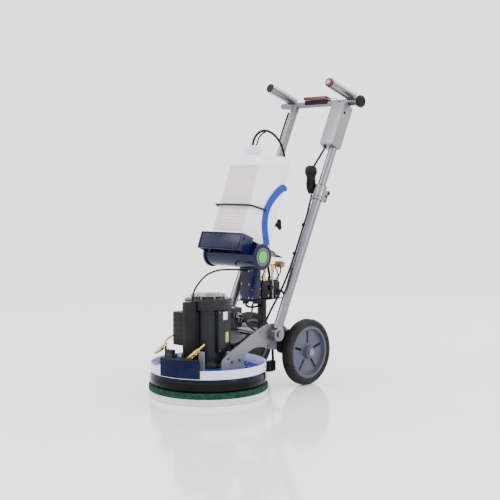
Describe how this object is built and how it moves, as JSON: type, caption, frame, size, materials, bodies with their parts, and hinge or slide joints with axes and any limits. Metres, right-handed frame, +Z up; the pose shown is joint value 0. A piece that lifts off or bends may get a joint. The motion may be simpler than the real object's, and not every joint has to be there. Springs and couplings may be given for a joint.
{
  "type": "concrete grinder",
  "caption": "Walk-behind floor grinder: planetary-driven disc, wheeled chassis, telescopic tilting handle, leaning water tank with spray pump.",
  "frame": {"origin": "centre of the abrasive pad underside, on the floor", "axes": "+Z up; -Y towards the grinding head; +Y towards the operator; +X towards the side with the switch box"},
  "size_m": [0.432, 0.8766, 1.1579],
  "materials": {
    "pad_felt": "coarse non-woven felt",
    "backing_felt": "coarse non-woven felt",
    "black_rubber": "moulded, half gloss",
    "tyre_rubber": "ribbed solid rubber",
    "deck_paint": "gloss powder coat",
    "navy_paint": "gloss powder coat",
    "blue_paint": "gloss powder coat",
    "motor_paint": "satin enamel",
    "frame_paint": "satin powder coat",
    "dark_frame": "satin powder coat",
    "black_plastic": "moulded, fine texture",
    "hub_plastic": "moulded, fine texture",
    "tank_plastic": "blow-moulded, translucent white",
    "red_plastic": "moulded",
    "tube_metal": "satin anodised",
    "steel": "turned",
    "brass": "turned",
    "copper_iron": "lacquered winding and laminations"
  },
  "bodies": {
    "chassis": {"deck": "deck_paint", "bumper": "black_rubber", "ring_gear": "steel", "splash_guard": "navy_paint", "motor_barrel": "motor_paint", "stator": "copper_iron", "fan_cowl": "motor_paint", "rain_canopy": "frame_paint", "terminal_box": "motor_paint", "front_box": "black_plastic", "spray_bar": "black_plastic", "spray_hose": "black_rubber", "arm_left": "frame_paint", "arm_right": "frame_paint", "axle_carrier": "dark_frame", "tank": "tank_plastic", "tank_hoop": "navy_paint", "strap_left": "blue_paint", "strap_right": "blue_paint", "cradle": "navy_paint", "drum": "navy_paint", "pump_motor": "navy_paint", "pump_head": "black_plastic", "brass_fittings": "brass", "suction_hose": "black_rubber"},
    "grinding_disc": {"pad_driver": "steel", "backing_pad": "backing_felt", "abrasive_pad": "pad_felt"},
    "rotor": {"rotor_shaft": "steel"},
    "planet_1": {"planet_gear_1": "steel"},
    "planet_2": {"planet_gear_2": "steel"},
    "planet_3": {"planet_gear_3": "steel"},
    "left_nozzle": {"nozzle_left": "brass"},
    "right_nozzle": {"nozzle_right": "brass"},
    "left_wheel": {"tyre_left": "tyre_rubber", "hub_left": "hub_plastic"},
    "right_wheel": {"tyre_right": "tyre_rubber", "hub_right": "hub_plastic"},
    "handle": {"lower_tube_left": "tube_metal", "lower_tube_right": "tube_metal", "pivot_shaft": "steel", "collar_left": "tube_metal", "collar_right": "tube_metal", "lower_cable": "black_rubber"},
    "left_clamp": {"clamp_lever_left": "black_plastic"},
    "right_clamp": {"clamp_lever_right": "black_plastic"},
    "upper_handle": {"upper_tube_left": "tube_metal", "upper_tube_right": "tube_metal", "crossbar": "dark_frame", "grip_left": "tube_metal", "grip_right": "tube_metal", "lever_housing": "black_plastic", "switch_box": "tube_metal", "upper_cable": "black_rubber", "cable_plug": "black_rubber"},
    "bar_knob": {"crossbar_knob": "black_plastic"},
    "button": {"stop_button": "red_plastic"},
    "deadman": {"deadman_lever": "red_plastic"},
    "cap": {"tank_cap": "tank_plastic"},
    "cradle_knob": {"tank_knob": "black_plastic"}
  },
  "joints": [
    {"name": "pad_spin", "type": "hinge", "parent": "chassis", "child": "grinding_disc", "pos_m": [0, 0, 0.03], "axis": [0, 0, 1], "continuous": true},
    {"name": "rotor_spin", "type": "hinge", "parent": "chassis", "child": "rotor", "pos_m": [0, 0, 0.2], "axis": [0, 0, 1], "continuous": true},
    {"name": "planet_1_spin", "type": "hinge", "parent": "grinding_disc", "child": "planet_1", "pos_m": [0.036, 0, 0.077], "axis": [0, 0, 1], "continuous": true},
    {"name": "planet_2_spin", "type": "hinge", "parent": "grinding_disc", "child": "planet_2", "pos_m": [-0.018, 0.03118, 0.077], "axis": [0, 0, 1], "continuous": true},
    {"name": "planet_3_spin", "type": "hinge", "parent": "grinding_disc", "child": "planet_3", "pos_m": [-0.018, -0.03118, 0.077], "axis": [0, 0, 1], "continuous": true},
    {"name": "left_nozzle_swivel", "type": "hinge", "parent": "chassis", "child": "left_nozzle", "pos_m": [-0.045, -0.165, 0.188], "axis": [0, 0, 1], "range_deg": [-45, 45]},
    {"name": "right_nozzle_swivel", "type": "hinge", "parent": "chassis", "child": "right_nozzle", "pos_m": [0.062, -0.165, 0.152], "axis": [1, 0, 0], "range_deg": [-45, 20]},
    {"name": "left_wheel_spin", "type": "hinge", "parent": "chassis", "child": "left_wheel", "pos_m": [0.15, 0.369, 0.124], "axis": [1, 0, 0], "continuous": true},
    {"name": "right_wheel_spin", "type": "hinge", "parent": "chassis", "child": "right_wheel", "pos_m": [-0.15, 0.369, 0.124], "axis": [1, 0, 0], "continuous": true},
    {"name": "handle_tilt", "type": "hinge", "parent": "chassis", "child": "handle", "pos_m": [0, 0.217, 0.2055], "axis": [1, 0, 0], "range_deg": [-30, 6], "deforming": ["lower_cable"]},
    {"name": "handle_extend", "type": "slide", "parent": "handle", "child": "upper_handle", "axis": [0, 0.4321, 0.9018], "range_m": [-0.12, 0.12]},
    {"name": "left_clamp_turn", "type": "hinge", "parent": "handle", "child": "left_clamp", "pos_m": [0.132, 0.49557, 0.68856], "axis": [1, 0, 0], "range_deg": [-80, 0]},
    {"name": "right_clamp_turn", "type": "hinge", "parent": "handle", "child": "right_clamp", "pos_m": [-0.132, 0.49557, 0.68856], "axis": [1, 0, 0], "range_deg": [-80, 0]},
    {"name": "bar_knob_turn", "type": "hinge", "parent": "upper_handle", "child": "bar_knob", "pos_m": [0.188, 0.63353, 1.07487], "axis": [1, 0, 0], "continuous": true},
    {"name": "stop_button_press", "type": "slide", "parent": "upper_handle", "child": "button", "axis": [0, 0.9533, -0.3019], "range_m": [0, 0.0025], "stiffness_N_per_m": 1500, "springref_m": -0.0005},
    {"name": "deadman_press", "type": "hinge", "parent": "upper_handle", "child": "deadman", "pos_m": [-0.016, 0.64653, 1.09617], "axis": [1, 0, 0], "range_deg": [0, 8], "stiffness_Nm_per_rad": 1, "springref_deg": -2.86},
    {"name": "tank_cap_turn", "type": "hinge", "parent": "chassis", "child": "cap", "pos_m": [-0.012, 0.246, 0.885], "axis": [0, 0, 1], "continuous": true},
    {"name": "cradle_knob_turn", "type": "hinge", "parent": "chassis", "child": "cradle_knob", "pos_m": [0.045, 0.28075, 0.59511], "axis": [0, 0.9908, 0.1357], "continuous": true}
  ],
  "couplings": [
    {"joint": "rotor_spin", "follows": "pad_spin", "ratio": 4},
    {"joint": "planet_1_spin", "follows": "pad_spin", "ratio": -3},
    {"joint": "planet_2_spin", "follows": "pad_spin", "ratio": -3},
    {"joint": "planet_3_spin", "follows": "pad_spin", "ratio": -3}
  ]
}
